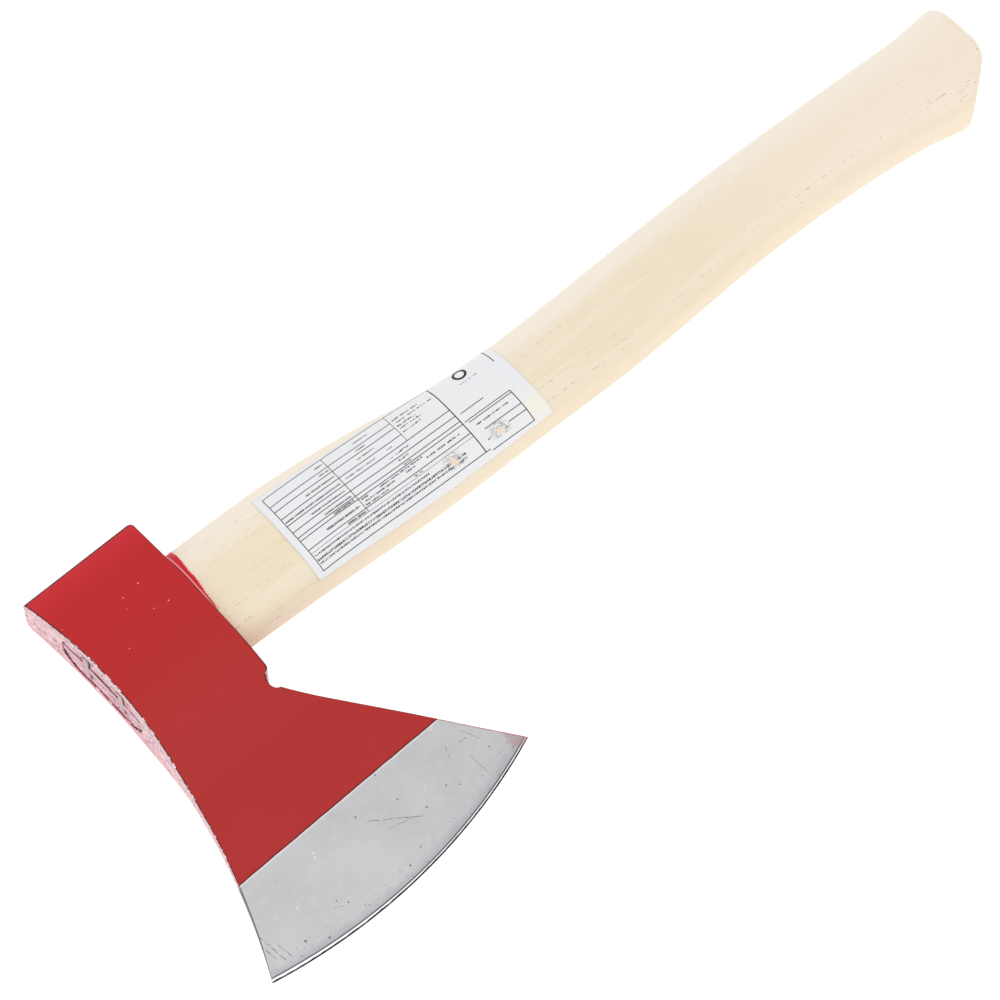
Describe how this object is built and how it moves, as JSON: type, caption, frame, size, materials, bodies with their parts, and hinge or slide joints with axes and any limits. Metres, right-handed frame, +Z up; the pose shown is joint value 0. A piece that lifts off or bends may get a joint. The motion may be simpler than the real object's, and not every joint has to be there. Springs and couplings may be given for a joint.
{
  "type": "fire axe",
  "caption": "Short hand axe: red painted steel head with a bare ground blade and curved edge, wedged on a pale S-curved wooden handle with a blank label.",
  "frame": {"origin": "centre of the bounding box, at its bottom; the axe lies on one cheek of the head", "axes": "+X along the handle from the head to the butt; -Y toward the cutting edge and +Y toward the poll; +Z up, through the thickness"},
  "size_m": [0.3986, 0.1526, 0.0266],
  "materials": {
    "head": "satin red paint down to a straight line, bare ground steel below it",
    "handle_wood": "sanded pale hardwood under a thin clear varnish",
    "wedge_wood": "end grain with a thin wash of red paint",
    "wedge_steel": "dull rolled steel",
    "label_paper": "matt white paper with grey rules and bars"
  },
  "bodies": {
    "root": {"axe_head": "head", "handle": "handle_wood", "wooden_wedge": "wedge_wood", "steel_wedge_poll": "wedge_steel", "steel_wedge_edge": "wedge_steel", "label": "label_paper"}
  },
  "joints": []
}
